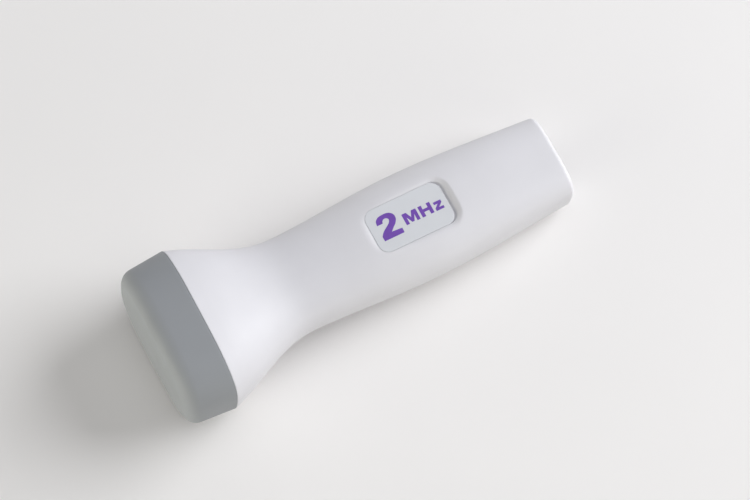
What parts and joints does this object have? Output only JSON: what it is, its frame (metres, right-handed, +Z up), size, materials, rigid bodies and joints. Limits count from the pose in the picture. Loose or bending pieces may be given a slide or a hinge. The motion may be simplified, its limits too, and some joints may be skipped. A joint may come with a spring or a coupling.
{
  "type": "handheld ultrasound doppler probe",
  "caption": "Handheld ultrasound transducer probe: flared moulded handle, flat oval grey face, shallow label recess on top and a modular cord socket in the rear end.",
  "frame": {"origin": "middle of the underside of the bounding box, on the table that the probe lies on", "axes": "+X from the acoustic face to the cord socket, +Z up, Y across the handle"},
  "size_m": [0.1192, 0.0438, 0.0324],
  "materials": {
    "shell_white": "fine spark-eroded texture",
    "cap_grey": "satin moulded",
    "plate_film": "satin film",
    "seal_rubber": "moulded",
    "carrier_nylon": "moulded",
    "piezo_ceramic": "fired, with silver electrodes",
    "cork": "cut",
    "backing_foam": "open foam",
    "tinned_steel": "tinned",
    "lead_jacket": "extruded",
    "board_laminate": "solder mask",
    "screw_steel": "zinc plated",
    "chip_epoxy": "moulded",
    "ferrite": "sintered",
    "copper_wire": "enamelled",
    "trimmer_ceramic": "glazed",
    "capacitor_can": "drawn",
    "socket_black": "moulded",
    "contact_gold": "gold plated"
  },
  "bodies": {
    "root": {"upper_shell": "shell_white", "lower_shell": "shell_white", "nose_cap": "cap_grey", "label_plate": "plate_film", "nose_gasket": "seal_rubber", "crystal_carrier": "carrier_nylon", "transmit_crystal": "piezo_ceramic", "receive_crystal": "piezo_ceramic", "crystal_barrier": "cork", "transmit_backing": "backing_foam", "receive_backing": "backing_foam", "shield_can": "tinned_steel", "transmit_lead": "lead_jacket", "receive_lead": "lead_jacket", "circuit_board": "board_laminate", "driver_chip": "chip_epoxy", "receiver_chip": "chip_epoxy", "transmit_coil_core": "ferrite", "transmit_coil_winding": "copper_wire", "receive_coil_core": "ferrite", "receive_coil_winding": "copper_wire", "trimmer_capacitor": "trimmer_ceramic", "supply_capacitor": "capacitor_can", "board_screw_front": "screw_steel", "board_screw_rear": "screw_steel", "jack_housing": "socket_black", "jack_contact_1": "contact_gold", "jack_contact_2": "contact_gold", "jack_contact_3": "contact_gold", "jack_contact_4": "contact_gold"}
  },
  "joints": []
}
